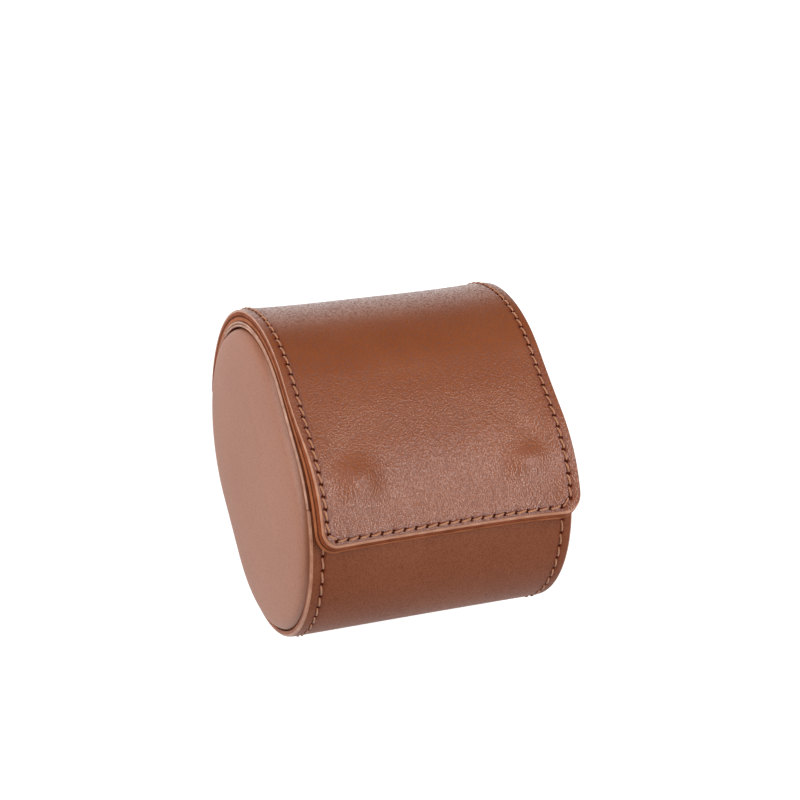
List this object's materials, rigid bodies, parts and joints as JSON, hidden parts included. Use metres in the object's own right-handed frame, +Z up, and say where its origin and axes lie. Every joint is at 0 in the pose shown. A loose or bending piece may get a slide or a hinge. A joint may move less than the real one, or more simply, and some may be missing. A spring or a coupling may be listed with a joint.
{
  "type": "watch travel case",
  "caption": "Leather barrel case for one watch, with padded ends, a stitched flap that hinges open at the back over its mouth, and a loose watch cushion inside.",
  "frame": {"origin": "middle of the narrow flat of the barrel that the case rests on", "axes": "+X along the barrel from the left end to the right end, +Y to the rear where the flap hinges, +Z up through the mouth"},
  "size_m": [0.077, 0.0876, 0.0696],
  "materials": {
    "barrel_leather": "fine pebble grain, semi-gloss",
    "flap_leather": "fine pebble grain, semi-gloss",
    "cap_leather": "smooth, satin",
    "rim_leather": "smooth face with a painted cut edge",
    "lining_leather": "smooth, satin",
    "suede": "short nap",
    "thread": "waxed twisted thread",
    "board": "plain pressed board",
    "foam": "open-cell foam",
    "magnet": "plated"
  },
  "bodies": {
    "case": {"shell_board": "board", "shell_leather": "barrel_leather", "shell_lining": "suede", "shell_stitching": "thread", "shell_magnets": "magnet", "end_board_left": "board", "end_board_right": "board", "end_lining_left": "suede", "end_lining_right": "suede", "end_pad_left": "foam", "end_pad_right": "foam", "end_cap_left": "cap_leather", "end_cap_right": "cap_leather", "mouth_rim_left": "rim_leather", "mouth_rim_right": "rim_leather", "flap_anchor_leather": "flap_leather", "flap_anchor_lining": "lining_leather", "flap_anchor_stitching": "thread"},
    "flap": {"flap_leather": "flap_leather", "flap_lining": "lining_leather", "flap_stitching": "thread", "flap_magnets": "magnet"},
    "cushion": {"cushion_foam": "foam", "cushion_cover": "suede", "cushion_end_left": "suede", "cushion_end_right": "suede"}
  },
  "joints": [
    {"name": "flap_hinge", "type": "hinge", "parent": "case", "child": "flap", "pos_m": [0, 0.03605, 0.05736], "axis": [-1, 0, 0], "range_deg": [0, 150]},
    {"name": "cushion_lift", "type": "slide", "parent": "case", "child": "cushion", "axis": [0, 0, 1], "range_m": [0, 0.02]}
  ]
}
